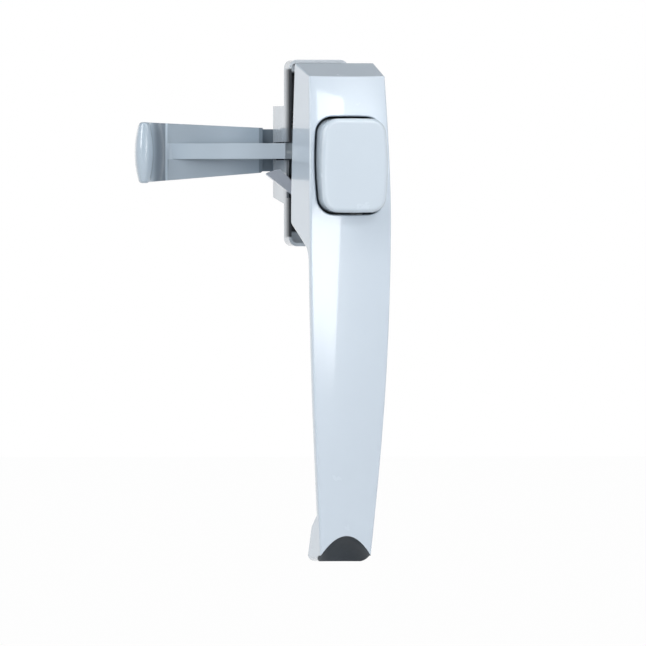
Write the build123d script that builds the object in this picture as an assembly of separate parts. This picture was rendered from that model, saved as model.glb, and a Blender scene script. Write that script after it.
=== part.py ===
from build123d import *
import os
from math import asin, cos, degrees, radians, sqrt, tan

# Storm door handle set: an outside pull with a push button, and an inside latch case with its lever.
# X runs to the right as seen from outside, Y runs through the door into the room, Z is up.
# The origin lies on the back face of the outside pull, on the axis of the push rod. Sizes are in mm.

# Door and fixing
door_gap = 23.8
screw_spacing = 44.45
screw_r = 2.08
screw_hole_clearance = 0.22
screw_play = 0.02
screw_head_r = 3.7
screw_head_height = 2.4
screw_head_round = 1.3
screw_tip_chamfer = 0.5
screw_recess_w = 0.9
screw_recess_span = 4.0
screw_recess_depth = 1.5
head_clearance = 0.3
screw_engagement = 7.2
screw_tip_room = 0.8

# Outside pull, front outline: half widths at the front face and the heights where they hold
pull_top_z = 35.1
pull_bottom_z = -160.2
pull_outline = [
    (14.9, 35.1),
    (15.75, 8.9),
    (16.4, -18.6),
    (16.2, -46.0),
    (14.1, -101.0),
    (11.05, -143.3),
    (9.9, -157.6),
]
draft_rate = 0.043
draft_front_y = -40.0
draft_back_y = 5.0
foot_corner_r = 2.6

# Outside pull, side profile
bow_peak_z = -35.0
bow_depth = 25.7
bow_upper_r = 377.0
bow_lower_r = 950.0
bow_upper_turn = 14.0
bow_lower_turn = 9.0
crown_r = 149.0
bevel_drop = 5.2
bevel_depth = 19.2
base_bottom_z = -29.5
underside_drop = 9.6
underside_fillet = 6.5
bar_thickness = 5.6
bar_back_share = 0.45
foot_top_z = -143.6
foot_shoulder = (-8.6, -146.6)
foot_shoulder_r = 6.0
foot_heel = (-0.8, -158.0)
foot_heel_r = 1.6
front_edge_round = 0.8
bevel_edge_round = 0.5
scoop_axis_y = -15.5
scoop_axis_z = -162.5
scoop_r = 12.6
scoop_half_w = 12.9

# Button pocket in the pull
pocket_centre_z = -5.2
pocket_half_w = 14.3
pocket_half_h = 19.3
pocket_bulge = 1.3
end_bulge_share = 0.25
pocket_corner_r = 7.0
pocket_edge_round = 0.55
pocket_floor_y = -9.0
pocket_floor_thickness = 3.0
pull_wall = 2.4
post_r = 4.3
post_recess = 0.3

# Push button and push rod
button_gap = 0.85
button_front_y = -31.7
button_stop_gap = 2.6
button_wall = 2.0
button_front_wall = 2.4
button_rib_z = (-13.2, 0.8)
button_rib_w = 1.4
button_rib_depth = 4.0
button_edge_round = 1.6
button_corner_r = 6.2
button_travel = 3.0
rod_r = 2.5
rod_clearance = 0.09
rod_seat_depth = 9.0
rod_nose_round = 0.9
hub_r = 4.7
hub_end_y = -17.0
clip_thickness = 0.8
clip_outer_r = 4.8
clip_groove_depth = 0.5
clip_mouth = 3.8
clip_eye_r = 0.8
clip_eye_z = 0.6
contact_gap = 0.3

# Button spring
button_spring_wire = 0.75
button_spring_r = 3.75
button_spring_turns = 3.5
wire_sides = 6

# Inside latch case
case_w = 24.0
case_h = 73.3
case_depth = 8.8
case_corner_r = 3.2
case_side_wall = 1.0
case_end_wall = 1.3
ledge_top_z = 34.4
ledge_height = 2.9
ledge_y = 26.0
case_floor = 2.0
case_edge_round = 0.9
boss_top_z = 18.5
boss_bottom_z = -17.2
boss_toe = 2.6
boss_depth = 16.4
boss_side_wall = 1.6
boss_face_wall = 1.8
boss_top_wall = 2.0
boss_cavity_bottom_z = -10.5
boss_edge_round = 0.7
notch_depth = 3.9
notch_bottom_z = -17.6
notch_corner_r = 1.2
slot_clearance = 0.8
rib_clearance = 0.45
case_post_r = 3.5

# Latch lever
pivot_inset = 5.8
pivot_y = 39.5
pin_r = 1.5
pin_clearance = 0.08
pin_chamfer = 0.3
barrel_r = 3.6
barrel_top_z = 9.4
barrel_bottom_z = -8.4
rib_top_z = 3.85
rib_bottom_z = -2.3
rib_root_y = 25.8
rib_mid = (-36.0, 43.3)
rib_sink = 0.2
rib_start_slope = 0.25
rib_end_slope = 0.75
arm_front_y = 26.9
pad_centre_x = 2.0
pad_height = 4.0
pad_flank_share = 0.75
arm_lift = 3.6
arm_nose_drop = 0.9
arm_nose_chamfer = 2.5
pad_r = 8.0
arm_back_y = 32.4
nose_length = 15.0
lever_rest_angle = 8.0
lever_swing = 20.0
flange_root_gap = 3.9
flange_root_y = 49.5
flange_thickness = 2.6
flange_root_half = 8.8
flange_tip_half = 11.85
flange_tip_drop = 0.85
flange_corner_r = 1.2
flange_centre_z = 1.2
neck_gap = 0.6
neck_recess = 1.3
neck_inset = 0.5
neck_tuck = 2.6
grip_x = -62.8
grip_half_w = 3.5
grip_rise = 7.2
grip_half_h = 12.0
grip_centre_z = 0.2
grip_fillet = 5.2
grip_crease = 0.3
cove_bite = 0.02
grip_crown_r = 42.0
grip_end_round = 1.3

# Lever return spring
lever_spring_wire = 0.9
lever_spring_r = 2.9
lever_spring_turns = 3.0
lever_spring_leg = 6.6
lever_spring_room = 1.2

# Night lock
lock_x = -4.0
lock_z = -15.5
lock_front_y = 25.2
lock_thickness = 2.1
lock_hub_r = 3.4
lock_tab = [
    (-10.5, -10.9),
    (-15.1, -6.4),
    (-17.4, -6.7),
    (-20.5, -8.0),
    (-20.5, -8.7),
    (-13.7, -13.9),
    (-10.5, -16.3),
]
lock_rivet_r = 1.3
lock_rivet_head_r = 2.5
lock_rivet_head = 0.9
lock_rivet_head_round = 0.5
lock_rivet_depth = 4.0
lock_clearance = 0.07
washer_thickness = 0.45
washer_inset = 0.4

# Lengths that let one form run past or into another
reach = 60.0
overrun = 1.0
seam = 0.5
thin_gap = 0.05

# Sizes that follow from those above
screw_z = screw_spacing / 2
case_rim_y = door_gap
case_face_y = case_rim_y + case_depth
boss_face_y = case_face_y + boss_depth
case_floor_y = case_face_y - case_floor
rod_end_y = arm_front_y - contact_gap
lock_back_y = lock_front_y + lock_thickness
lock_seat_y = lock_back_y + washer_thickness + 2 * thin_gap
pocket_back_y = pocket_floor_y + pocket_floor_thickness
clip_y = pocket_back_y + contact_gap
button_skirt_y = pocket_floor_y - button_travel - button_stop_gap
bevel_slope = bevel_drop / bevel_depth
bar_back_round = bar_back_share * bar_thickness
pivot_x = pivot_inset - case_w / 2
flange_root_x = -case_w / 2 - flange_root_gap
nose_end_x = case_w / 2 + nose_length
grip_at = (grip_x - flange_root_x) / cos(radians(lever_rest_angle))
roll_y = grip_half_w - grip_rise
cove_centres = grip_half_w - cove_bite + grip_fillet
cove_rise = roll_y + grip_fillet - grip_crease
cove_x = grip_at + sqrt(cove_centres**2 - cove_rise**2)
crease_at = cove_x + sqrt(grip_fillet**2 - (grip_fillet - grip_crease) ** 2)
crease_x = flange_root_x + crease_at * cos(radians(lever_rest_angle))
swing = radians(lever_swing)
slot_top = rib_top_z + rib_clearance
slot_bottom = rib_bottom_z - rib_clearance
boss_back_y = boss_face_y - boss_face_wall
nose_lift = (case_w / 2 - pivot_x) * tan(swing) - (pivot_y - arm_back_y) / cos(swing)
nose_slot_y = pivot_y + nose_lift + 2 * slot_clearance
neck_x = -case_w / 2 - neck_gap
neck_y = flange_root_y + neck_recess
neck_end_x = -case_w / 2 + neck_tuck
lever_tan = tan(radians(lever_rest_angle))


def slab(sketch, y_from, y_to):
    """Extrude a front-view sketch between two depths."""
    return Pos(0, y_to, 0) * extrude(Plane.XZ * sketch, y_to - y_from)


def rod_y(x, z, r, y_from, y_to):
    """Round bar along Y between two depths."""
    return Pos(x, y_to, z) * extrude(Plane.XZ * Circle(r), y_to - y_from)


def bar_z(sketch, z_from, z_to):
    """Extrude a plan-view sketch between two heights."""
    return Pos(0, 0, z_from) * extrude(sketch, z_to - z_from)


def corner(face, x, y):
    """Vertex of a flat shape that lies nearest to a point."""
    return face.vertices().sort_by_distance(Vector(x, y, 0))[0]


def front_y(z):
    """Depth of the pull's front face on its centre line."""
    radius = bow_upper_r if z > bow_peak_z else bow_lower_r
    return -bow_depth + radius - sqrt(radius**2 - (z - bow_peak_z) ** 2)


def pull_section(y, inset=0.0):
    """Front outline of the pull at one depth, drafted wider towards the door."""
    grow = draft_rate * (y + bow_depth) - inset
    sides = [(half + grow, z) for half, z in pull_outline]
    corner_half, corner_z = sides[-1]
    right = Spline(*sides)
    left = mirror(right, Plane.YZ)
    corner_end = (corner_half - foot_corner_r, pull_bottom_z)
    right_corner = TangentArc((corner_half, corner_z), corner_end, tangent=right % 1)
    left_corner = mirror(right_corner, Plane.YZ)
    top = Line(left @ 0, right @ 0)
    bottom = Line(left_corner @ 1, right_corner @ 1)
    face = make_face([top, right, right_corner, bottom, left_corner, left])
    return Pos(0, y, 0) * (Plane.XZ * face)


def pull_prism(inset=0.0):
    return loft([pull_section(draft_back_y, inset), pull_section(draft_front_y, inset)], ruled=True)


def pull_profile():
    """Side profile of the pull, open towards the front where the bowed face trims it."""
    def back(z):
        return front_y(z) + bar_thickness

    meet_z = base_bottom_z - underside_drop
    mid_z = (meet_z + foot_top_z) / 2
    edges = [
        Line((0, pull_top_z), (0, base_bottom_z)),
        Line((0, base_bottom_z), (back(meet_z), meet_z)),
        ThreePointArc((back(meet_z), meet_z), (back(mid_z), mid_z), (back(foot_top_z), foot_top_z)),
        Line((back(foot_top_z), foot_top_z), foot_shoulder),
        Line(foot_shoulder, foot_heel),
        Line(foot_heel, (foot_heel[0], pull_bottom_z)),
        Line((foot_heel[0], pull_bottom_z), (-reach, pull_bottom_z)),
        Line((-reach, pull_bottom_z), (-reach, pull_top_z - bevel_slope * reach)),
        Line((-reach, pull_top_z - bevel_slope * reach), (0, pull_top_z)),
    ]
    face = make_face(edges)
    face = fillet(corner(face, back(meet_z), meet_z), underside_fillet)
    face = fillet(corner(face, *foot_shoulder), foot_shoulder_r)
    face = fillet(corner(face, foot_heel[0], pull_bottom_z), foot_heel_r)
    return extrude(Plane.YZ * face, reach / 2, both=True)


def under_bevel(wall):
    """Everything that lies at least a wall below the sloping top bevel."""
    face = make_face(
        Polyline(
            (overrun, pull_top_z + bevel_slope * overrun - wall),
            (overrun, -reach),
            (-reach, -reach),
            (-reach, pull_top_z - bevel_slope * reach - wall),
            close=True,
        ).edges()
    )
    return extrude(Plane.YZ * face, reach / 2, both=True)


def bowed_front():
    """Everything behind the crowned and bowed front face."""
    half = reach / 2
    behind = 3 * overrun
    crown_drop = crown_r - sqrt(crown_r**2 - half**2)
    section = make_face(
        [
            ThreePointArc((-half, -bow_depth + crown_drop), (0, -bow_depth), (half, -bow_depth + crown_drop)),
            Line((half, -bow_depth + crown_drop), (half, behind)),
            Line((half, behind), (-half, behind)),
            Line((-half, behind), (-half, -bow_depth + crown_drop)),
        ]
    )
    face = Pos(0, 0, bow_peak_z) * section
    upper_axis = Axis((0, bow_upper_r - bow_depth, bow_peak_z), (-1, 0, 0))
    lower_axis = Axis((0, bow_lower_r - bow_depth, bow_peak_z), (1, 0, 0))
    return revolve(face, upper_axis, bow_upper_turn) + revolve(face, lower_axis, bow_lower_turn)


def barrel_outline(half_w, half_h, bulge, corner_r):
    """Rounded rectangle with bowed sides, centred on the button."""
    side = half_w - bulge
    flat = bulge * end_bulge_share
    face = make_face(
        [
            ThreePointArc((-side, half_h - flat), (0, half_h), (side, half_h - flat)),
            ThreePointArc((side, half_h - flat), (half_w, 0), (side, -half_h + flat)),
            ThreePointArc((side, -half_h + flat), (0, -half_h), (-side, -half_h + flat)),
            ThreePointArc((-side, -half_h + flat), (-half_w, 0), (-side, half_h - flat)),
        ]
    )
    face = fillet(face.vertices(), corner_r)
    return Pos(0, pocket_centre_z) * face


def side_edges(body, low_z, high_z, near, far):
    """Edges that run down the pull's sides, picked by height and by distance behind the front face."""

    def wanted(edge):
        middle = edge.center()
        if abs(middle.X) < 5 or abs(edge.tangent_at(0.5).Z) < 0.8:
            return False
        behind = middle.Y - front_y(middle.Z)
        return low_z < middle.Z < high_z and near < behind < far

    return body.edges().filter_by(wanted)


def pocket_mouth(point):
    """Whether a point lies on the rim where the button pocket breaks through the front face."""
    inside_w = abs(point.X) < pocket_half_w + 0.1
    inside_h = abs(point.Z - pocket_centre_z) < pocket_half_h + 0.1
    return inside_w and inside_h and abs(point.Y - front_y(point.Z)) < 1.6


def outside_handle():
    body = pull_prism() & pull_profile() & bowed_front()
    # The bar's rounded back, then the crisp front edges
    bar_low = foot_top_z + 2
    bar_high = base_bottom_z - underside_drop
    body = fillet(side_edges(body, bar_low, bar_high, bar_thickness - 2, bar_thickness + 2), bar_back_round)
    body = fillet(side_edges(body, pull_bottom_z, pull_top_z, -1, 2.0), front_edge_round)
    bevel = body.faces().filter_by(lambda f: f.center().Z > 30 and f.normal_at().Z > 0.9).sort_by(Axis.Z)[-1]
    body = fillet(bevel.edges().filter_by(lambda e: e.center().Y < -1), bevel_edge_round)
    # Scoop under the tip
    ends = [(-scoop_half_w, 0), (scoop_half_w, 0)]
    parabola = make_face([Bezier(ends[0], (0, 2 * scoop_r), ends[1]), Line(ends[1], ends[0])])
    body -= Pos(0, scoop_axis_y, scoop_axis_z) * revolve(parabola, Axis.X, 360)
    # Button pocket from the front, cavity from the back
    pocket = barrel_outline(pocket_half_w, pocket_half_h, pocket_bulge, pocket_corner_r)
    body -= slab(pocket, -reach, pocket_floor_y)
    mouth = body.edges().filter_by(lambda e: pocket_mouth(e.center()))
    body = fillet(mouth, pocket_edge_round)
    inside = pull_prism(pull_wall) & under_bevel(pull_wall)
    cavity_bottom = base_bottom_z + pull_wall
    rear = Pos(0, (reach + cavity_bottom) / 2) * Rectangle(reach, reach - cavity_bottom)
    body -= slab(rear, pocket_back_y, overrun) & inside
    deep_bottom = pocket_centre_z + pocket_half_h + pull_wall
    deep_y = front_y(deep_bottom) + 2 * pull_wall
    deep = Pos(0, (reach + deep_bottom) / 2) * Rectangle(reach, reach - deep_bottom)
    body -= slab(deep, deep_y, overrun) & inside
    for z, root_y in ((screw_z, deep_y), (-screw_z, pocket_back_y)):
        body += rod_y(0, z, post_r, root_y - post_recess, -post_recess)
        body -= rod_y(0, z, screw_r, -screw_engagement - screw_tip_room, overrun)
    body -= rod_y(0, 0, rod_r + rod_clearance, pocket_floor_y - overrun, overrun)
    return body


def push_button():
    outer = barrel_outline(
        pocket_half_w - button_gap, pocket_half_h - button_gap, pocket_bulge, button_corner_r
    )
    body = slab(outer, button_front_y, button_skirt_y)
    rim = body.faces().sort_by(Axis.Y)[0].edges()
    body = fillet(rim, button_edge_round)
    inset = button_gap + button_wall
    inner = barrel_outline(
        pocket_half_w - inset, pocket_half_h - inset, pocket_bulge, button_corner_r - button_wall / 2
    )
    body -= slab(inner, button_front_y + button_front_wall, button_skirt_y)
    body += rod_y(0, 0, hub_r, button_front_y + button_wall, hub_end_y)
    for z in button_rib_z:
        rib = Pos(0, z) * Rectangle(2 * (pocket_half_w - inset + seam), button_rib_w)
        body += slab(rib, button_front_y + button_wall, button_front_y + button_wall + button_rib_depth)
    body -= rod_y(0, 0, rod_r, hub_end_y - rod_seat_depth, hub_end_y + overrun)
    return body


def push_rod():
    body = rod_y(0, 0, rod_r, hub_end_y - rod_seat_depth, rod_end_y)
    nose = body.faces().sort_by(Axis.Y)[-1].edges()
    body = fillet(nose, rod_nose_round)
    groove = rod_y(0, 0, rod_r + overrun, clip_y, clip_y + clip_thickness)
    groove -= rod_y(0, 0, rod_r - clip_groove_depth, clip_y - overrun, clip_y + clip_thickness + overrun)
    return body - groove


def rod_clip():
    """Open retaining ring in the groove of the push rod."""
    ring = Circle(clip_outer_r) - Circle(rod_r - clip_groove_depth)
    ring -= Pos(0, -clip_outer_r) * Rectangle(clip_mouth, 2 * clip_outer_r)
    eye_x = (rod_r - clip_groove_depth + clip_outer_r) / 2
    for side in (-1, 1):
        ring -= Pos(side * eye_x, clip_eye_z) * Circle(clip_eye_r)
    return slab(ring, clip_y, clip_y + clip_thickness)


def coil(radius, wire, length, turns):
    """Helical wire that stands on Z from half a wire up."""
    path = Helix(pitch=(length - wire) / turns, height=length - wire, radius=radius)
    section = Plane(origin=path @ 0, z_dir=path % 0) * RegularPolygon(wire / 2, wire_sides)
    return Pos(0, 0, wire / 2) * sweep(section, path=path, is_frenet=True)


def button_spring():
    length = pocket_floor_y - hub_end_y - 2 * thin_gap
    turns = coil(button_spring_r, button_spring_wire, length, button_spring_turns)
    return Pos(0, pocket_floor_y - thin_gap, 0) * Rot(90, 0, 0) * turns


def mounting_screw(z):
    body = rod_y(0, z, screw_r - screw_play, -screw_engagement, case_face_y + seam)
    tip = body.faces().sort_by(Axis.Y)[0].edges()
    body = chamfer(tip, screw_tip_chamfer)
    top = case_face_y + screw_head_height
    head = rod_y(0, z, screw_head_r, case_face_y, top)
    head = fillet(head.faces().sort_by(Axis.Y)[-1].edges(), screw_head_round)
    cross = Rectangle(screw_recess_w, screw_recess_span) + Rectangle(screw_recess_span, screw_recess_w)
    return body + head - slab(Pos(0, z) * cross, top - screw_recess_depth, top + overrun)


def latch_case():
    body = slab(RectangleRounded(case_w, case_h, case_corner_r), case_rim_y, case_face_y)
    body = fillet(body.faces().sort_by(Axis.Y)[-1].edges(), case_edge_round)
    raised = make_face(
        Polyline(
            (case_rim_y + overrun, boss_top_z),
            (boss_face_y, boss_top_z),
            (boss_face_y, boss_bottom_z),
            (case_face_y, boss_bottom_z - boss_toe),
            (case_rim_y + overrun, boss_bottom_z - boss_toe),
            close=True,
        ).edges()
    )
    boss = extrude(Plane.YZ * raised, case_w / 2, both=True)
    boss = fillet(boss.faces().sort_by(Axis.Y)[-1].edges(), boss_edge_round)
    body += boss
    inner_w = case_w - 2 * case_side_wall
    body -= slab(
        RectangleRounded(inner_w, case_h - 2 * case_end_wall, case_corner_r - case_side_wall),
        case_rim_y - overrun,
        case_floor_y,
    )
    cavity_top = boss_top_z - boss_top_wall
    cavity_height = cavity_top - boss_cavity_bottom_z
    cavity = Pos(0, cavity_top - cavity_height / 2) * Rectangle(case_w - 2 * boss_side_wall, cavity_height)
    body -= slab(cavity, case_rim_y - overrun, boss_back_y)
    # Openings in the left wall: a shallow rim notch for the lock and a deep slot for the lever's rib
    left = -case_w / 2
    through = 4 * boss_side_wall
    notch_h = slot_top - notch_bottom_z
    notch = Pos(left, slot_top - notch_h / 2) * RectangleRounded(through, notch_h, notch_corner_r)
    body -= slab(notch, case_rim_y - overrun, case_rim_y + notch_depth)
    slot = Rectangle(through, slot_top - slot_bottom)
    slot_z = (slot_top + slot_bottom) / 2
    body -= slab(Pos(left, slot_z) * slot, case_rim_y - overrun, boss_back_y)
    body -= slab(Pos(-left, slot_z) * slot, case_rim_y - overrun, nose_slot_y)
    # Ledge across the top end, posts round the through screws, and the seat of the lock
    ledge = Pos(0, ledge_top_z - ledge_height / 2) * Rectangle(inner_w, ledge_height)
    body += slab(ledge, ledge_y, case_floor_y + seam)
    for z in (screw_z, -screw_z):
        body += rod_y(0, z, case_post_r, case_rim_y, case_floor_y + seam)
        body -= rod_y(0, z, screw_r + screw_hole_clearance, case_rim_y - overrun, case_face_y + overrun)
        body -= rod_y(0, z, screw_head_r + head_clearance, case_face_y, case_face_y + 2 * screw_head_height)
    body += rod_y(lock_x, lock_z, lock_rivet_head_r, lock_seat_y, case_floor_y + seam)
    body -= rod_y(lock_x, lock_z, lock_rivet_r, lock_seat_y - overrun, lock_seat_y + lock_rivet_depth)
    body -= Pos(pivot_x, pivot_y, 0) * Cylinder(pin_r, 2 * reach)
    return body


def web_y(x):
    """Depth of the lever flange's door side."""
    return flange_root_y + (flange_root_x - x) * lever_tan


def lever_outline():
    """Elevation of the flange and the cove, up to the grip's middle."""
    top_root = flange_centre_z + flange_root_half
    bottom_root = flange_centre_z - flange_root_half
    tip_centre = flange_centre_z - flange_tip_drop
    tip_top = tip_centre + flange_tip_half
    tip_bottom = tip_centre - flange_tip_half
    corners = [
        (flange_root_x, bottom_root),
        (flange_root_x, top_root),
        (grip_x, tip_top),
        (grip_x, tip_bottom),
    ]
    face = make_face(Polyline(*corners, close=True).edges())
    return fillet(corner(face, flange_root_x, bottom_root), flange_corner_r)


def lever_plan():
    """Flange and cove in plan, from the root along -X to the grip, with the door side at y = 0."""
    turn = degrees(asin((grip_fillet - grip_crease) / grip_fillet))
    lean = degrees(asin(cove_rise / cove_centres))
    cove = CenterArc((cove_x, grip_crease - grip_fillet), grip_fillet, turn, 180 - turn - lean)
    spare = flange_root_half
    edges = [
        Line((spare, flange_thickness), (spare, 0)),
        Line((spare, 0), cove @ 0),
        cove,
        Line(cove @ 1, (grip_at, roll_y)),
        Line((grip_at, roll_y), (grip_at, flange_thickness)),
        Line((grip_at, flange_thickness), (spare, flange_thickness)),
    ]
    return make_face(edges)


def lever_place():
    return Pos(flange_root_x, flange_root_y) * Rot(0, 0, -lever_rest_angle)


def grip_roll():
    """Crowned roll at the lever's end: a barrel at the front, one at the back and the stretch between."""
    sag = grip_crown_r - sqrt(grip_crown_r**2 - grip_half_h**2)
    end_w = grip_half_w - sag
    right = ThreePointArc((end_w, -grip_half_h), (grip_half_w, 0), (end_w, grip_half_h))
    left = mirror(right, Plane.YZ)
    silhouette = make_face([right, left, Line(right @ 0, left @ 0), Line(right @ 1, left @ 1)])
    axis_ends = [(0, grip_half_h), (0, -grip_half_h)]
    half = make_face([right, Line(right @ 1, axis_ends[0]), Line(*axis_ends), Line(axis_ends[1], right @ 0)])
    barrel = revolve(Plane.XZ * half, Axis.Z, 360)
    stretch = flange_thickness - grip_half_w - roll_y
    body = Pos(0, stretch, 0) * extrude(Plane.XZ * silhouette, stretch)
    body += barrel + Pos(0, stretch, 0) * barrel
    ends = body.edges().filter_by(lambda e: abs(abs(e.center().Z) - grip_half_h) < 0.01)
    body = fillet(ends, grip_end_round)
    return Pos(grip_at, roll_y, grip_centre_z) * body


def lever_arm():
    """Plan of the rib from the grip through the slot, its arm with the domed pad, and the latch nose."""
    rib_end_x = crease_x - rib_sink
    rib_end_y = web_y(rib_end_x)
    slot_x = -case_w / 2 - overrun
    back_y = boss_back_y - slot_clearance
    nose_y = arm_front_y + arm_nose_drop
    rib = Spline(
        (rib_end_x, rib_end_y + rib_sink),
        rib_mid,
        (slot_x, rib_root_y),
        tangents=((1, -rib_start_slope), (1, -rib_end_slope)),
    )
    corners = [
        (slot_x, rib_root_y),
        (pad_centre_x - pad_flank_share * pad_r, arm_front_y + arm_lift),
        (case_w / 2, nose_y),
        (nose_end_x - arm_nose_chamfer, nose_y + arm_nose_chamfer / 2),
        (nose_end_x, arm_back_y - arm_nose_chamfer / 2),
        (nose_end_x - arm_nose_chamfer / 2, arm_back_y),
        (pad_centre_x + pad_flank_share * pad_r, arm_back_y),
        (pivot_x + barrel_r, pivot_y),
        (pivot_x - barrel_r, back_y),
        (neck_x, back_y),
        (neck_x, neck_y + neck_inset),
        (rib_end_x, rib_end_y + 2 * neck_inset),
        (rib_end_x, rib_end_y + rib_sink),
    ]
    arm = make_face([rib, *[Line(start, end) for start, end in zip(corners, corners[1:])]])
    pad = Pos(pad_centre_x, arm_front_y + pad_r) * Circle(pad_r)
    return arm + (pad & Pos(pad_centre_x, arm_front_y + pad_height / 2) * Rectangle(2 * pad_r, pad_height))


def latch_lever():
    # The cove follows the grip's crown, so its plan is turned about the crown's centre
    crown_axis = Axis((grip_at + grip_half_w - grip_crown_r, 0, 0), (0, 1, 0))
    crown_turn = 2 * degrees(asin(grip_half_h / grip_crown_r))
    flange = revolve(lever_plan(), crown_axis, crown_turn)
    flange += revolve(lever_plan(), crown_axis, -crown_turn)
    body = (lever_place() * flange) & slab(lever_outline(), 0, 2 * reach)
    body += lever_place() * grip_roll()
    # Recessed neck that tucks behind the raised block of the case
    neck_top = flange_centre_z + flange_root_half - neck_inset
    neck_bottom = flange_centre_z - flange_root_half + neck_inset
    back_y = flange_root_y + flange_thickness
    neck_start_x = flange_root_x - seam
    neck = Rectangle(neck_end_x - neck_start_x, back_y - neck_y)
    neck = Pos((neck_start_x + neck_end_x) / 2, (neck_y + back_y) / 2) * neck
    body += bar_z(neck, neck_bottom, neck_top)
    body += bar_z(lever_arm(), rib_bottom_z, rib_top_z)
    body += Pos(pivot_x, pivot_y, barrel_bottom_z) * extrude(Circle(barrel_r), barrel_top_z - barrel_bottom_z)
    body -= Pos(pivot_x, pivot_y, 0) * Cylinder(pin_r + pin_clearance, 2 * reach)
    return body


def pivot_pin():
    length = boss_top_z - boss_bottom_z - 2 * pin_chamfer
    body = Pos(pivot_x, pivot_y, (boss_top_z + boss_bottom_z) / 2) * Cylinder(pin_r, length)
    return chamfer(body.edges().filter_by(GeomType.CIRCLE), pin_chamfer)


def lever_spring():
    height = boss_top_z - boss_top_wall - barrel_top_z - lever_spring_room
    body = coil(lever_spring_r, lever_spring_wire, height, lever_spring_turns)
    body = Pos(pivot_x, pivot_y, barrel_top_z + contact_gap) * Rot(0, 0, 180) * body
    low_z = barrel_top_z + contact_gap + lever_spring_wire / 2
    leg_x = pivot_x - lever_spring_r
    leg = Pos(leg_x, pivot_y, low_z) * extrude(Plane.XZ * Circle(lever_spring_wire / 2), -lever_spring_leg)
    return body + leg


def lock_lever():
    hub = Pos(lock_x, lock_z) * Circle(lock_hub_r)
    root_x = lock_x - overrun
    root = [(root_x, lock_z - lock_hub_r), (root_x, lock_z + lock_hub_r)]
    tab = make_face(Polyline(*lock_tab, *root, close=True).edges())
    body = slab(hub + tab, lock_front_y, lock_back_y)
    return body - rod_y(lock_x, lock_z, lock_rivet_r + lock_clearance, 0, reach)


def lock_rivet():
    end_y = lock_seat_y + lock_rivet_depth - 2 * thin_gap
    body = rod_y(lock_x, lock_z, lock_rivet_r, lock_front_y - 2 * thin_gap, end_y)
    head_y = lock_front_y - thin_gap
    head = rod_y(lock_x, lock_z, lock_rivet_head_r, head_y - lock_rivet_head, head_y)
    head = fillet(head.faces().sort_by(Axis.Y)[0].edges(), lock_rivet_head_round)
    return body + head


def lock_washer():
    ring = Pos(lock_x, lock_z) * (Circle(lock_hub_r - washer_inset) - Circle(lock_rivet_r + lock_clearance))
    start = lock_back_y + thin_gap
    return slab(ring, start, start + washer_thickness)


os.makedirs("parts", exist_ok=True)
parts = {
    "outside_handle": outside_handle(),
    "push_button": push_button(),
    "push_rod": push_rod(),
    "rod_clip": rod_clip(),
    "button_spring": button_spring(),
    "upper_screw": mounting_screw(screw_z),
    "lower_screw": mounting_screw(-screw_z),
    "latch_case": latch_case(),
    "latch_lever": latch_lever(),
    "pivot_pin": pivot_pin(),
    "lever_spring": lever_spring(),
    "lock_lever": lock_lever(),
    "lock_rivet": lock_rivet(),
    "lock_washer": lock_washer(),
}
for name, shape in parts.items():
    export_step(shape, f"parts/{name}.step")
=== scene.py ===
import math

import bmesh
import bpy
from mathutils import Matrix, Vector


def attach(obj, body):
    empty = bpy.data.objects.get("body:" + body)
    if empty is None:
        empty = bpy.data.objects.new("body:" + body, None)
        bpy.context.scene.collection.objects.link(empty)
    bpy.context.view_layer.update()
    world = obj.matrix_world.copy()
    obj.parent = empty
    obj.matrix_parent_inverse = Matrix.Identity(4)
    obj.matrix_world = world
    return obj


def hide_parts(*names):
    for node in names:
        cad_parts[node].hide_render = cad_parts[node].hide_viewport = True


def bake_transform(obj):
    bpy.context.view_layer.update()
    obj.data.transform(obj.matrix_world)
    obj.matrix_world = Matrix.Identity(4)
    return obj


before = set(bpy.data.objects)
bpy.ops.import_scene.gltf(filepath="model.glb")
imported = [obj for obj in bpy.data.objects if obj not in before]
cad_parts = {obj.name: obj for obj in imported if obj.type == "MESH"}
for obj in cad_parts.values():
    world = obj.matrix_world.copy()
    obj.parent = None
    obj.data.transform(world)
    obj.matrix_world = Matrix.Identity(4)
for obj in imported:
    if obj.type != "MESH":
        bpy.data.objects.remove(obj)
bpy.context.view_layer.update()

MM = 0.001

# Camera: level, 15 degrees round to the left of straight ahead, far off with a long lens
CAMERA_AZIMUTH = -15.0
CAMERA_DISTANCE = 12.0
CAMERA_TARGET = Vector((-4.608 * MM, 0.0, -66.8 * MM))
CAMERA_REACH = 100.0
PHOTO_PIXELS = 646
PIXELS_PER_MM = 2.55
SENSOR_WIDTH = 36.0

# Studio floor, in metres, and the levels of the room's light as shares of white
FLOOR_Z = -0.30
FLOOR_HALF = 40.0
FLOOR_COLOUR = (0.55, 0.55, 0.56, 1.0)
FLOOR_SEEN = 0.985
WHITE = (1.0, 1.0, 1.0, 1.0)
AMBIENT = 0.27
AMBIENT_COLOUR = (0.93, 0.96, 1.0, 1.0)
ROOM_IN_FRONT = 0.3
ROOM_FRONT_TO_BACK = (-0.25, 0.15)
ROOM_ABOVE = 0.1
ROOM_LOW_TO_HIGH = (0.15, 0.5)

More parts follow.
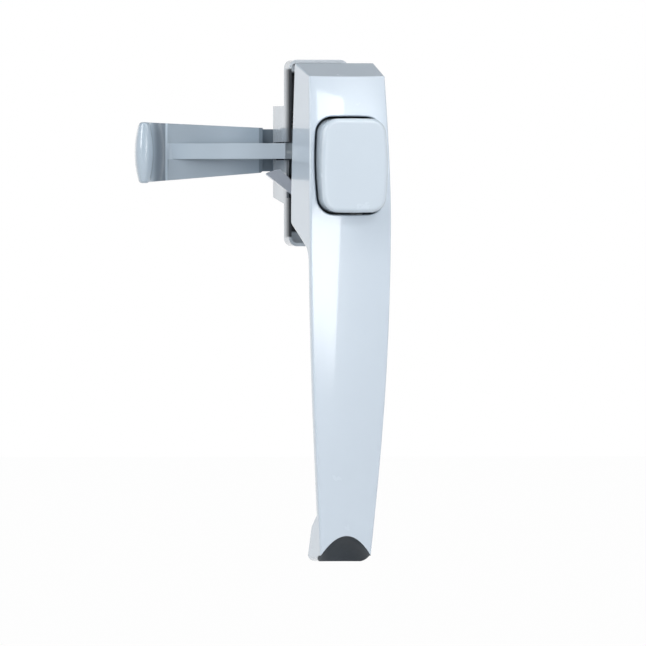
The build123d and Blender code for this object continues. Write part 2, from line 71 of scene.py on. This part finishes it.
# Softboxes: direction from the set in degrees, distance and sides in metres, power in watts
SOFTBOXES = {
    "strip softbox": dict(
        azimuth=7.6, elevation=6.0, distance=1.6, width=0.235, height=0.828, power=3.6, roll=-8.0, fade=0.22
    ),
    "left softbox": dict(azimuth=-66.0, elevation=27.0, distance=1.5, width=0.45, height=1.05, power=10.5),
    "right softbox": dict(azimuth=44.0, elevation=21.0, distance=1.5, width=0.26, height=1.05, power=4.0),
    "front fill": dict(azimuth=19.0, elevation=14.0, distance=1.6, width=0.66, height=0.62, power=5.2, soft=0.42),
    "front top softbox": dict(azimuth=20.0, elevation=42.0, distance=1.6, width=0.60, height=0.40, power=4.0),
    "top softbox": dict(azimuth=10.0, elevation=75.0, distance=1.5, width=1.00, height=1.00, power=2.2),
    "room softbox": dict(
        azimuth=150.0, elevation=32.0, distance=1.6, width=0.90, height=0.90, power=8.0, mirrored=False
    ),
}

# Through screws, in millimetres
SCREW_Z = 22.225
SCREW_TIP_Y = -7.2
SCREW_SEAT_Y = 32.6
SHANK_OVERLAP = 0.3
SHANK_LENGTH = SCREW_SEAT_Y - SCREW_TIP_Y + SHANK_OVERLAP
SHANK_SIDES = 28
THREAD_END_Y = 15.0
THREAD_PITCH = 0.8
THREAD_CREST = 2.04
THREAD_ROOT = 1.62
THREAD_FLANK = (0.15, 0.85)
THREAD_POINT = 1.3
THREAD_POINT_TAPER = 0.45
THREAD_RUN_OUT = 1.6
ROWS_PER_PITCH = 7
PLAIN_SHANK = 1.84
SHARP_EDGE = 32

# Lever return spring, in millimetres
COIL_X = -6.2
COIL_Y = 39.5
COIL_Z = 9.7
COIL_HEIGHT = 5.9
COIL_R = 2.9
COIL_WIRE = 0.9
COIL_TURNS = 4.0
COIL_LEG = 6.6
COIL_LEG_SHARE = 0.1

# Button spring, in millimetres
BUTTON_COIL_R = 3.75
BUTTON_COIL_WIRE = 0.75
BUTTON_COIL_TURNS = 5.0

# Both coils: points along the wire, sides of the wire, share of the turns that lies flat at each end
COIL_POINTS = 240
COIL_SIDES = 12
COIL_FLAT_END = 0.04

# Scoop under the tip of the pull, painted dark as shade, in millimetres
SCOOP_AXIS_Y = -15.5
SCOOP_AXIS_Z = -162.5
SCOOP_R = 12.6
SCOOP_HALF_W = 12.9
SCOOP_TOP_Z = (-149.0, -148.0)
SCOOP_EDGE = (0.02, 0.14)

# Button pocket, whose depth is painted dark as shade, and hollow back of the pull, in millimetres
POCKET_HALF_W = 14.35
POCKET_Y = (-18.7, -8.8)
POCKET_Z = (-23.9, 14.2)
HOLLOW_HALF_W = 14.9
HOLLOW_Y = (-8.6, -0.15)
HOLLOW_BOTTOM_Z = (-27.4, -27.2)
BEVEL_SLOPE = 0.2708
BEVEL_Z = (32.85, 33.2)

# Inside of the latch case and the rims of its long sides, painted dark as shade, in millimetres
CASE_INSIDE_HALF_W = (11.0, 11.05)
CASE_INSIDE_Y = (24.2, 47.3)
CASE_INSIDE_Z = (-30.5, 31.35)
CASE_RIM_HALF_W = (10.85, 10.95)
CASE_RIM_HALF_H = 32.6
CASE_RIM_FADE_Y = (23.9, 33.0)
CASE_LOOKS_TO_ROOM = (0.3, 0.6)
CASE_LOOKS_OUT = (2.0, 6.0)

# Stretches of the lever along X and its rib along Z, in millimetres, and the painted shade on each
LEVER_COVE = (-61.0, -57.0)
LEVER_CREASE = (-54.3, -53.9)
LEVER_WEB = (-53.4, -53.1)
LEVER_WEB_FADE = (-46.0, -20.0)
LEVER_NECK = (-17.6, -17.2)
LEVER_RIB = (-2.3, 3.85)
LEVER_LOOKS_TO_DOOR = (-0.55, -0.15)
COVE_PAINTED_SHADE = 0.75
WEB_PAINTED_SHADE = (0.42, 0.08)
NECK_PAINTED_SHADE = 0.52
RIB_LESS_SHADE = 0.6

# Enamel: scales of its marks, how much each shows and the shade that it gives, and the relief
PEEL_SCALE = 460.0
CLOUD_SCALE = 30.0
GRAIN_SCALE = 2400.0
NIB_SCALE = 900.0
RUB_SCALE = 70.0
CLOUD_SHADE = 0.955
# Edges painted lighter: partly thinner paint, partly a painted highlight
EDGE_WEAR_AND_SHEEN_SHARE, EDGE_WEAR_AND_SHEEN_TONE = 0.35, 1.12
NIB_SHARE, NIB_SHADE = 0.25, 0.78
# Painted shade in corners and recesses, found by ambient occlusion, and how far it reaches
CORNER_SHADE_SHARE, CORNER_SHADE_TONE = 0.5, 0.28
CORNER_SHADE_REACH = 6.0
GRAIN_SHADES = (0.72, 1.28)
COAT_ROUGHNESS = 0.04
ENAMEL_RELIEF = 0.4

# Steel: the same for its drawing marks, clouds, stains and edges
MARK_SCALE = 6.0
STEEL_CLOUD_SCALE = 240.0
STAIN_SCALE = 620.0
STEEL_CLOUD_SHADE = 0.74
STAIN_SHARE, STAIN_SHADE = 0.4, 0.5
STEEL_RIM_SHARE, STEEL_RIM_SHADE = 0.4, 1.2
STEEL_EDGE = 0.12
STEEL_RELIEF = 0.2


def linear(red, green, blue):
    """Linear colour of an eight-bit display colour."""

    def channel(value):
        value /= 255
        return value / 12.92 if value <= 0.04045 else ((value + 0.055) / 1.055) ** 2.4

    return (channel(red), channel(green), channel(blue), 1.0)


def shade(colour, share):
    return tuple(channel * share for channel in colour[:3]) + (1.0,)


def towards(azimuth, elevation):
    """Direction from the set to a place round it, in degrees."""
    a = math.radians(azimuth)
    e = math.radians(elevation)
    return Vector((math.sin(a) * math.cos(e), -math.cos(a) * math.cos(e), math.sin(e)))


class Value:
    """A node socket that can be used in ordinary arithmetic."""

    def __init__(self, graph, socket):
        self.graph = graph
        self.socket = socket

    def _math(self, operation, *terms):
        return self.graph.node("ShaderNodeMath", {"operation": operation}, dict(enumerate(terms)))

    def __add__(self, other):
        return self._math("ADD", self, other)

    __radd__ = __add__

    def __sub__(self, other):
        return self._math("SUBTRACT", self, other)

    def __rsub__(self, other):
        return self._math("SUBTRACT", other, self)

    def __mul__(self, other):
        return self._math("MULTIPLY", self, other)

    __rmul__ = __mul__

    def __truediv__(self, other):
        return self._math("DIVIDE", self, other)

    def __pow__(self, other):
        return self._math("POWER", self, other)

    def __abs__(self):
        return self._math("ABSOLUTE", self)

    def either(self, other):
        return self._math("MAXIMUM", self, other)

    def part(self, output):
        """Another output of the same node."""
        return Value(self.graph, self.socket.node.outputs[output])


class Graph:
    """A node tree that is built node by node, each from the one method."""

    def __init__(self, tree):
        self.tree = tree
        tree.nodes.clear()

    def node(self, kind, settings=None, inputs=None, output=0):
        made = self.tree.nodes.new(kind)
        for key, setting in (settings or {}).items():
            setattr(made, key, setting)
        for key, value in (inputs or {}).items():
            if isinstance(value, Value):
                self.tree.links.new(value.socket, made.inputs[key])
            else:
                made.inputs[key].default_value = value
        return Value(self, made.outputs[output]) if made.outputs else None

    def mix(self, factor, first, second):
        """Colour mix."""
        return self.node("ShaderNodeMix", {"data_type": "RGBA"}, {0: factor, 6: first, 7: second}, 2)

    def blend(self, factor, first, second):
        """Mix of two numbers."""
        return self.node("ShaderNodeMix", {"data_type": "FLOAT"}, {0: factor, 2: first, 3: second})

    def ramp(self, value, low, high, to_low=0.0, to_high=1.0, kind="SMOOTHSTEP"):
        """Step from one level to another between two limits: smooth, or straight where its kind is LINEAR."""
        return self.node(
            "ShaderNodeMapRange",
            {"interpolation_type": kind},
            {"Value": value, "From Min": low, "From Max": high, "To Min": to_low, "To Max": to_high},
        )

    def within(self, value, low, high, soft=0.1):
        """One between two limits, nought outside them."""
        return self.ramp(value, low - soft, low) * self.ramp(value, high, high + soft, 1.0, 0.0)

    def noise(self, place, scale, detail=3.0, roughness=0.5):
        return self.node(
            "ShaderNodeTexNoise", {}, {"Vector": place, "Scale": scale, "Detail": detail, "Roughness": roughness}
        )

    def axes(self, place, scale=1.0):
        """The three coordinates of a place, times a scale."""
        made = self.node("ShaderNodeSeparateXYZ", {}, {0: place})
        return [made.part(axis) * scale for axis in range(3)]

    def looking(self):
        """The three parts of a face's direction, in its own object."""
        return self.axes(self.node("ShaderNodeTexCoord", output="Normal"))

    def paths(self):
        """One for the rays that see the background: camera, mirror and glass rays."""
        path = self.node("ShaderNodeLightPath")
        return path.part("Is Camera Ray").either(path.part("Is Glossy Ray")).either(path.part("Is Transmission Ray"))


def new_finish(name):
    material = bpy.data.materials.new(name)
    material.use_nodes = True
    return material, Graph(material.node_tree)


def rounded_edges(g, radius):
    """Rounded normal for the edges, and a mask of how much of an edge is near."""
    eased = g.node("ShaderNodeBevel", {"samples": 6}, {"Radius": radius * MM})
    flat = g.node("ShaderNodeNewGeometry", output="Normal")
    turn = g.node("ShaderNodeVectorMath", {"operation": "DOT_PRODUCT"}, {0: eased, 1: flat}, "Value")
    return eased, g.ramp(turn, 0.7, 0.985, 1.0, 0.0)


def gloss_enamel(name, colour, raw_or_shaded=(), roughness=0.2, edge=0.35):
    """Baked gloss enamel on a die casting.

    Faint orange peel, dust nibs, rub marks, edges painted lighter (thinner paint, partly a painted highlight)
    and painted shade with duller paint in the corners. Where a patch has its mask, the paint stops and raw
    casting or a painted shade shows."""
    material, g = new_finish(name)
    place = g.node("ShaderNodeTexCoord", output="Object")
    axes = g.axes(place, 1 / MM)
    peel = g.noise(place, PEEL_SCALE, 2.0)
    cloud = g.noise(place, CLOUD_SCALE, 3.0)
    grain = g.noise(place, GRAIN_SCALE, 3.0, 0.6)
    nib = g.ramp(g.noise(place, NIB_SCALE, 1.0), 0.77, 0.82)
    rub = g.ramp(g.noise(place, RUB_SCALE, 5.0, 0.65), 0.56, 0.74)
    eased, rim = rounded_edges(g, edge)
    # Painted shade: ambient occlusion darkens corners and recesses; there the paint is also rougher, with a thinner
    # coat
    corner = g.node("ShaderNodeAmbientOcclusion", {"samples": 8}, {"Distance": CORNER_SHADE_REACH * MM}, "AO")
    corner_shade_and_grime = g.ramp(corner, 0.2, 0.74, 1.0, 0.0) * (cloud * 0.5 + 0.75)
    tone = g.mix(cloud, shade(colour, CLOUD_SHADE), colour)
    # Edges painted lighter, as thinner paint and partly as a painted highlight
    tone = g.mix(rim * EDGE_WEAR_AND_SHEEN_SHARE, tone, shade(colour, EDGE_WEAR_AND_SHEEN_TONE))
    tone = g.mix(nib * NIB_SHARE, tone, shade(colour, NIB_SHADE))
    tone = g.mix(corner_shade_and_grime * CORNER_SHADE_SHARE, tone, shade(colour, CORNER_SHADE_TONE))
    height = peel * 0.6 + nib * 0.1 + cloud * 0.4
    rough = rub * 0.08 + cloud * 0.05 + corner_shade_and_grime * 0.12 + roughness
    coat = 1.0 - corner_shade_and_grime * 0.45
    # Each patch shows raw casting, or a painted shade where the paint lies in shadow
    for patch, raw_or_shade_colour, patch_roughness in raw_or_shaded:
        mask = patch(g, *axes)
        dark, light = (shade(raw_or_shade_colour, share) for share in GRAIN_SHADES)
        tone = g.mix(mask, tone, g.mix(grain, dark, light))
        height = height + mask * grain * 3.0
        rough = g.blend(mask, rough, grain * 0.16 + patch_roughness)
        coat = coat * (1.0 - mask)
    bump = g.node(
        "ShaderNodeBump",
        {},
        {"Strength": 0.03, "Distance": ENAMEL_RELIEF * MM, "Height": height, "Normal": eased},
    )
    shader = g.node(
        "ShaderNodeBsdfPrincipled",
        {},
        {
            "Base Color": tone,
            "Roughness": rough,
            "Normal": bump,
            "Coat Weight": coat,
            "Coat Roughness": COAT_ROUGHNESS,
        },
    )
    g.node("ShaderNodeOutputMaterial", {}, {"Surface": shader})
    return material


def scoop_shade_patch(g, x, y, z):
    """The scoop under the tip, painted dark as shade."""
    dy = y - SCOOP_AXIS_Y
    dz = z - SCOOP_AXIS_Z
    trough = (dy * dy + dz * dz) ** 0.5 + x * x * (SCOOP_R / SCOOP_HALF_W**2)
    start, end = SCOOP_EDGE
    below_top = g.ramp(z, *SCOOP_TOP_Z, 1.0, 0.0)
    return g.ramp(trough, SCOOP_R + start, SCOOP_R + end, 1.0, 0.0) * below_top


def pocket_shade_patch(g, x, y, z):
    """The depth of the button pocket, painted dark as shade."""
    return g.within(x, -POCKET_HALF_W, POCKET_HALF_W) * g.within(z, *POCKET_Z) * g.within(y, *POCKET_Y, 0.8)


def hollow_patch(g, x, y, z):
    """The hollow back of the pull, raw from the die."""
    under_bevel = g.ramp(z - y * BEVEL_SLOPE, *BEVEL_Z, 1.0, 0.0)
    across = g.within(x, -HOLLOW_HALF_W, HOLLOW_HALF_W)
    return under_bevel * across * g.ramp(z, *HOLLOW_BOTTOM_Z) * g.within(y, *HOLLOW_Y, 0.05)


def case_shade_patch(g, x, y, z):
    """The inside of the latch case, and the rims of its long sides fading towards the room, painted dark as shade.
    """
    side = abs(x)
    _, to_room, up = g.looking()
    inside = g.ramp(side, *CASE_INSIDE_HALF_W, 1.0, 0.0) * g.within(z, *CASE_INSIDE_Z, 1.2)
    inside = inside * g.within(y, *CASE_INSIDE_Y, 0.3)
    inside = inside * g.ramp(to_room, *CASE_LOOKS_TO_ROOM, 1.0, 0.0) * g.ramp(up * z, *CASE_LOOKS_OUT, 1.0, 0.0)
    rim = g.ramp(side, *CASE_RIM_HALF_W) * g.within(z, -CASE_RIM_HALF_H, CASE_RIM_HALF_H, 1.0)
    return inside.either(rim * g.ramp(y, *CASE_RIM_FADE_Y, 0.95, 0.0))


def lever_shade_patch(g, x, y, z):
    """The face of the lever towards the door: duller paint with painted shade in the cove beside the grip, along the
    web and at the neck.
    """
    door_side = g.ramp(g.looking()[1], *LEVER_LOOKS_TO_DOOR, 1.0, 0.0)
    cove = g.ramp(x, *LEVER_COVE) * g.ramp(x, *LEVER_CREASE, 1.0, 0.0) * COVE_PAINTED_SHADE
    web = g.ramp(x, *LEVER_WEB) * g.ramp(x, *LEVER_WEB_FADE, *WEB_PAINTED_SHADE)
    neck = g.ramp(x, *LEVER_NECK) * NECK_PAINTED_SHADE
    rib = g.within(z, *LEVER_RIB)
    return door_side * (cove + web * (1.0 - rib * RIB_LESS_SHADE) + neck * (1.0 - rib))


def plated_steel(name, colour, roughness=0.26, stretch=(400.0, 60.0, 400.0)):
    """Zinc plated or drawn steel with fine marks along its length and dull spots."""
    material, g = new_finish(name)
    place = g.node("ShaderNodeTexCoord", output="Object")
    drawn = g.node("ShaderNodeMapping", {}, {"Vector": place, "Scale": stretch})
    marks = g.noise(drawn, MARK_SCALE, 4.0, 0.6)
    cloud = g.noise(place, STEEL_CLOUD_SCALE, 3.0)
    stain = g.ramp(g.noise(place, STAIN_SCALE, 4.0, 0.6), 0.54, 0.7)
    eased, rim = rounded_edges(g, STEEL_EDGE)
    tone = g.mix(cloud, shade(colour, STEEL_CLOUD_SHADE), colour)
    tone = g.mix(stain * STAIN_SHARE, tone, shade(colour, STAIN_SHADE))
    tone = g.mix(rim * STEEL_RIM_SHARE, tone, shade(colour, STEEL_RIM_SHADE))
    bump = g.node(
        "ShaderNodeBump",
        {},
        {"Strength": 0.12, "Distance": STEEL_RELIEF * MM, "Height": marks + cloud * 0.5, "Normal": eased},
    )
    shader = g.node(
        "ShaderNodeBsdfPrincipled",
        {},
        {
            "Base Color": tone,
            "Metallic": 1.0,
            "Roughness": marks * 0.16 + cloud * 0.08 + stain * 0.14 + roughness,
            "Normal": bump,
        },
    )
    g.node("ShaderNodeOutputMaterial", {}, {"Surface": shader})
    return material


# Patch colours: the scoop, the pocket, the inside of the case and the lever's door face are painted shade; the
# hollow back is raw casting
SCOOP_PAINTED_SHADE = (0.039, 0.052, 0.066, 1.0)
SHADOWED_CASTING = (0.012, 0.016, 0.022, 1.0)
RAW_CASTING = (0.17, 0.18, 0.19, 1.0)
LEVER_PAINTED_SHADE = (0.092, 0.122, 0.158, 1.0)

PULL = gloss_enamel(
    "pull gloss enamel",
    linear(213, 226, 238),
    (
        (scoop_shade_patch, SCOOP_PAINTED_SHADE, 0.42),
        (pocket_shade_patch, SHADOWED_CASTING, 0.5),
        (hollow_patch, RAW_CASTING, 0.46),
    ),
)
BUTTON = gloss_enamel("button gloss enamel", linear(213, 226, 237))
CASE = gloss_enamel("case gloss enamel", linear(203, 212, 220), ((case_shade_patch, SHADOWED_CASTING, 0.5),))
# The lever's enamel is written darker than the pull's, partly as painted shade: the same paint lies in less light
# there
LEVER = gloss_enamel("lever gloss enamel", linear(189, 205, 218), ((lever_shade_patch, LEVER_PAINTED_SHADE, 0.4),), 0.26)
LOCK = gloss_enamel("lock tab enamel", linear(214, 222, 235), edge=0.5)
STEEL = plated_steel("zinc plated steel", linear(200, 201, 198))
WIRE = plated_steel("drawn spring wire", linear(150, 150, 148), 0.34)

for node, material in {
    "outside_handle": PULL,
    "push_button": BUTTON,
    "latch_case": CASE,
    "latch_lever": LEVER,
    "lock_lever": LOCK,
    "push_rod": STEEL,
    "rod_clip": WIRE,
    "pivot_pin": STEEL,
    "lock_rivet": STEEL,
    "lock_washer": STEEL,
}.items():
    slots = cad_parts[node].data.materials
    slots.clear()
    slots.append(material)


class Recipe:
    """A Geometry Nodes tree with named sizes, and the plain mesh that it makes."""

    def __init__(self, name, sizes):
        self.name = name
        self.sizes = sizes
        self.tree = bpy.data.node_groups.new(name, "GeometryNodeTree")
        self.sockets = {
            size: self.tree.interface.new_socket(size, in_out="INPUT", socket_type="NodeSocketFloat")
            for size in sizes
        }
        self.tree.interface.new_socket("Geometry", in_out="OUTPUT", socket_type="NodeSocketGeometry")
        self.graph = Graph(self.tree)
        self.group_input = self.graph.node("NodeGroupInput")

    def size(self, name):
        return self.group_input.part(name)

    def made_of(self, geometry, material):
        g = self.graph
        whole = g.node("GeometryNodeRealizeInstances", {}, {0: geometry})
        whole = g.node("GeometryNodeSetShadeSmooth", {}, {0: whole, 2: True})
        whole = g.node("GeometryNodeSetMaterial", {}, {0: whole, "Material": material})
        g.node("NodeGroupOutput", {}, {0: whole})

    def mesh(self):
        """Plain mesh of the recipe; the modifier goes with its carrier."""
        carrier = bpy.data.objects.new(self.name, bpy.data.meshes.new(self.name + " seed"))
        bpy.context.scene.collection.objects.link(carrier)
        modifier = carrier.modifiers.new(self.name, "NODES")
        modifier.node_group = self.tree
        for size, socket in self.sockets.items():
            modifier[socket.identifier] = float(self.sizes[size])
        bpy.context.view_layer.update()
        graph = bpy.context.evaluated_depsgraph_get()
        mesh = bpy.data.meshes.new_from_object(carrier.evaluated_get(graph))
        bpy.data.objects.remove(carrier)
        return mesh


def threaded_shank():
    """Machine screw shank on +Z from its tip: a helical thread that runs out into a plain stretch."""
    recipe = Recipe(
        "threaded shank",
        {
            "Length": SHANK_LENGTH * MM,
            "Thread Length": (THREAD_END_Y - SCREW_TIP_Y) * MM,
            "Pitch": THREAD_PITCH * MM,
            "Crest": THREAD_CREST * MM,
            "Root": THREAD_ROOT * MM,
            "Plain": PLAIN_SHANK * MM,
        },
    )
    g = recipe.graph
    bar = g.node(
        "GeometryNodeMeshCylinder",
        {"fill_type": "TRIANGLE_FAN"},
        {
            "Vertices": SHANK_SIDES,
            "Side Segments": round(SHANK_LENGTH / THREAD_PITCH * ROWS_PER_PITCH),
            "Radius": recipe.size("Crest"),
            "Depth": recipe.size("Length"),
        },
    )
    x, y, z = g.axes(g.node("GeometryNodeInputPosition"))
    z = z + recipe.size("Length") * 0.5
    angle = g.node("ShaderNodeMath", {"operation": "ARCTAN2"}, {0: y, 1: x})
    phase = z / recipe.size("Pitch") - angle / math.tau
    tooth = abs(g.node("ShaderNodeMath", {"operation": "FRACT"}, {0: phase}) - 0.5) * 2.0
    tooth = g.ramp(tooth, *THREAD_FLANK, kind="LINEAR")
    point = g.ramp(z, 0.0, THREAD_POINT * MM, -THREAD_POINT_TAPER, 0.0)
    run_out = g.ramp(z, recipe.size("Thread Length") - THREAD_RUN_OUT * MM, recipe.size("Thread Length"))
    thread = recipe.size("Root") + (recipe.size("Crest") - recipe.size("Root")) * tooth
    radius = g.blend(run_out, thread, recipe.size("Plain")) + point * MM
    share = radius / recipe.size("Crest") - 1.0
    away = g.node("ShaderNodeCombineXYZ", {}, {0: x * share, 1: y * share})
    recipe.made_of(g.node("GeometryNodeSetPosition", {}, {0: bar, "Offset": away}), STEEL)
    return recipe.mesh()


def merged(node):
    """Copy of a CAD node's mesh with its loose triangles joined."""
    made = bmesh.new()
    made.from_mesh(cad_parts[node].data)
    bmesh.ops.remove_doubles(made, verts=made.verts, dist=0.002 * MM)
    return made


def screw(node, z):
    """Through screw: the head of the CAD screw with its cross recess, on a threaded shank."""
    made = merged(node)
    cut = Vector((0.0, SCREW_SEAT_Y * MM, 0.0))
    everything = made.verts[:] + made.edges[:] + made.faces[:]
    bmesh.ops.bisect_plane(made, geom=everything, plane_co=cut, plane_no=(0, 1, 0), clear_inner=True)
    bmesh.ops.holes_fill(made, edges=[edge for edge in made.edges if edge.is_boundary])
    for face in made.faces:
        face.smooth = True
        face.material_index = 0
    for edge in made.edges:
        if len(edge.link_faces) == 2 and edge.calc_face_angle() > math.radians(SHARP_EDGE):
            edge.smooth = False
    shank = threaded_shank()
    middle = (SCREW_TIP_Y + SHANK_LENGTH / 2) * MM
    shank.transform(Matrix.Translation((0.0, middle, z * MM)) @ Matrix.Rotation(math.radians(-90), 4, "X"))
    made.from_mesh(shank)
    mesh = bpy.data.meshes.new(node + "_threaded")
    made.to_mesh(mesh)
    made.free()
    mesh.materials.append(STEEL)
    piece = bpy.data.objects.new(node + "_threaded", mesh)
    bpy.context.scene.collection.objects.link(piece)
    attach(piece, "frame")
    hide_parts(node)


def coil(name, radius, wire, height, turns, leg=0.0):
    """Round-wire coil spring on +Z with closed end turns; a leg runs off its first turn along -Y."""
    recipe = Recipe(
        name,
        {
            "Coil Radius": radius * MM,
            "Wire Radius": wire / 2 * MM,
            "Height": (height - wire) * MM,
            "Turns": turns,
            "Leg": leg * MM,
        },
    )
    g = recipe.graph
    line = g.node("GeometryNodeCurvePrimitiveLine", {}, {"End": (0.0, 0.0, 1.0)})
    line = g.node("GeometryNodeResampleCurve", {}, {0: line, "Count": COIL_POINTS})
    along = g.node("GeometryNodeSplineParameter")
    leg_share = COIL_LEG_SHARE if leg else 0.0
    turned = g.ramp(along, leg_share, 1.0, kind="LINEAR")
    angle = turned * recipe.size("Turns") * -math.tau + math.pi
    x = g.node("ShaderNodeMath", {"operation": "COSINE"}, {0: angle}) * recipe.size("Coil Radius")
    y = g.node("ShaderNodeMath", {"operation": "SINE"}, {0: angle}) * recipe.size("Coil Radius")
    if leg:
        y = y - g.ramp(along, 0.0, leg_share, 1.0, 0.0, "LINEAR") * recipe.size("Leg")
    rise = g.ramp(turned, COIL_FLAT_END, 1.0 - COIL_FLAT_END)
    z = rise * recipe.size("Height") + recipe.size("Wire Radius")
    place = g.node("ShaderNodeCombineXYZ", {}, {0: x, 1: y, 2: z})
    path = g.node("GeometryNodeSetPosition", {}, {0: line, "Position": place})
    path = g.node("GeometryNodeSetCurveNormal", {"mode": "MINIMUM_TWIST"}, {0: path})
    ring = g.node(
        "GeometryNodeCurvePrimitiveCircle", {}, {"Resolution": COIL_SIDES, "Radius": recipe.size("Wire Radius")}
    )
    recipe.made_of(g.node("GeometryNodeCurveToMesh", {}, {0: path, 1: ring, "Fill Caps": True}), WIRE)
    return recipe.mesh()


def spring_piece(name, node, mesh, place):
    """A coil in the place of a CAD spring."""
    mesh.transform(place)
    piece = bpy.data.objects.new(name, mesh)
    bpy.context.scene.collection.objects.link(piece)
    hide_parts(node)
    return piece


def lever_coil():
    """Torsion spring on the lever's pivot, with a leg into the case."""
    mesh = coil("lever return spring", COIL_R, COIL_WIRE, COIL_HEIGHT, COIL_TURNS, COIL_LEG)
    place = Matrix.Translation((COIL_X * MM, COIL_Y * MM, COIL_Z * MM))
    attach(spring_piece("lever_return_spring", "lever_spring", mesh, place), "frame")


def button_coil():
    """Coil between the pocket floor and the button."""
    points = [vertex.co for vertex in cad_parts["button_spring"].data.vertices]
    front, back = min(point.y for point in points), max(point.y for point in points)
    centre_z = (min(point.z for point in points) + max(point.z for point in points)) / 2
    mesh = coil("button return spring", BUTTON_COIL_R, BUTTON_COIL_WIRE, (back - front) / MM, BUTTON_COIL_TURNS)
    place = Matrix.Translation((0.0, back, centre_z)) @ Matrix.Rotation(math.radians(90), 4, "X")
    piece = spring_piece("button_return_spring", "button_spring", mesh, place)
    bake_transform(piece)


screw("upper_screw", SCREW_Z)
screw("lower_screw", -SCREW_Z)
lever_coil()
button_coil()


def studio_floor():
    """Pale floor: white where it is seen, matt where the light falls, so it keeps the shadow; clear from below."""
    sides = ((-1, -1), (1, -1), (1, 1), (-1, 1))
    corners = [(x * FLOOR_HALF, y * FLOOR_HALF, FLOOR_Z) for x, y in sides]
    mesh = bpy.data.meshes.new("studio_floor")
    mesh.from_pydata(corners, [], [(0, 1, 2, 3)])
    floor = bpy.data.objects.new("studio_floor", mesh)
    bpy.context.scene.collection.objects.link(floor)
    material, g = new_finish("pale studio floor")
    matt = g.node("ShaderNodeBsdfDiffuse", {}, {"Color": FLOOR_COLOUR})
    bright = g.node("ShaderNodeEmission", {}, {"Color": WHITE, "Strength": 1.0})
    shader = g.node("ShaderNodeMixShader", {}, {0: g.paths() * FLOOR_SEEN, 1: matt, 2: bright})
    from_below = g.node("ShaderNodeNewGeometry", output="Backfacing")
    clear = g.node("ShaderNodeBsdfTransparent")
    shader = g.node("ShaderNodeMixShader", {}, {0: from_below, 1: shader, 2: clear})
    g.node("ShaderNodeOutputMaterial", {}, {"Surface": shader})
    mesh.materials.append(material)


def studio_world():
    """White behind the set; in mirror rays the room above and in front of it is darker."""
    world = bpy.data.worlds.new("studio")
    world.use_nodes = True
    bpy.context.scene.world = world
    g = Graph(world.node_tree)
    path = g.node("ShaderNodeLightPath")
    _, depth, height = g.axes(g.node("ShaderNodeTexCoord"))
    mirrored = g.ramp(depth, *ROOM_FRONT_TO_BACK, ROOM_IN_FRONT, 1.0)
    mirrored = mirrored * g.ramp(height, *ROOM_LOW_TO_HIGH, 1.0, ROOM_ABOVE)
    seen = g.blend(path.part("Is Glossy Ray"), 1.0, mirrored)
    white = g.node("ShaderNodeBackground", {}, {"Color": WHITE, "Strength": seen})
    ambient = g.node("ShaderNodeBackground", {}, {"Color": AMBIENT_COLOUR, "Strength": AMBIENT})
    shader = g.node("ShaderNodeMixShader", {}, {0: g.paths(), 1: ambient, 2: white})
    g.node("ShaderNodeOutputWorld", {}, {"Surface": shader})


def softbox(name, azimuth, elevation, distance, width, height, power, roll=0.0, fade=0.0, soft=0.0, mirrored=True):
    """Area lamp that looks at the set from a direction round it.

    A fade dims its lower edge, a soft share dims all its edges. One that isn't mirrored only lights."""
    lamp = bpy.data.lights.new(name, "AREA")
    lamp.shape = "RECTANGLE"
    lamp.size = width
    lamp.size_y = height
    lamp.energy = power
    if fade or soft:
        lamp.use_nodes = True
        g = Graph(lamp.node_tree)
        across, level, _ = g.axes(g.node("ShaderNodeNewGeometry", output="Parametric"))
        glow = g.ramp(level, 0.0, fade) if fade else 1.0
        if soft:
            glow = g.within(across, soft, 1.0 - soft, soft) * g.within(level, soft, 1.0 - soft, soft) * glow
        g.node("ShaderNodeOutputLight", {}, {"Surface": g.node("ShaderNodeEmission", {}, {"Strength": glow})})
    box = bpy.data.objects.new(name, lamp)
    away = towards(azimuth, elevation)
    turned = away.to_track_quat("Z", "Y").to_matrix() @ Matrix.Rotation(math.radians(roll), 3, "Z")
    box.matrix_world = Matrix.Translation(CAMERA_TARGET + away * distance) @ turned.to_4x4()
    box.visible_camera = False
    box.visible_glossy = mirrored
    bpy.context.scene.collection.objects.link(box)


def camera():
    lens = bpy.data.cameras.new("camera")
    lens.sensor_width = SENSOR_WIDTH
    lens.lens = PIXELS_PER_MM / MM * CAMERA_DISTANCE * SENSOR_WIDTH / PHOTO_PIXELS
    lens.clip_end = CAMERA_REACH
    eye = bpy.data.objects.new("camera", lens)
    away = towards(CAMERA_AZIMUTH, 0.0)
    eye.location = CAMERA_TARGET + away * CAMERA_DISTANCE
    eye.rotation_euler = away.to_track_quat("Z", "Y").to_euler()
    bpy.context.scene.collection.objects.link(eye)
    bpy.context.scene.camera = eye


bpy.context.scene.view_settings.view_transform = "Standard"
studio_floor()
studio_world()
for name, setting in SOFTBOXES.items():
    softbox(name, **setting)
camera()
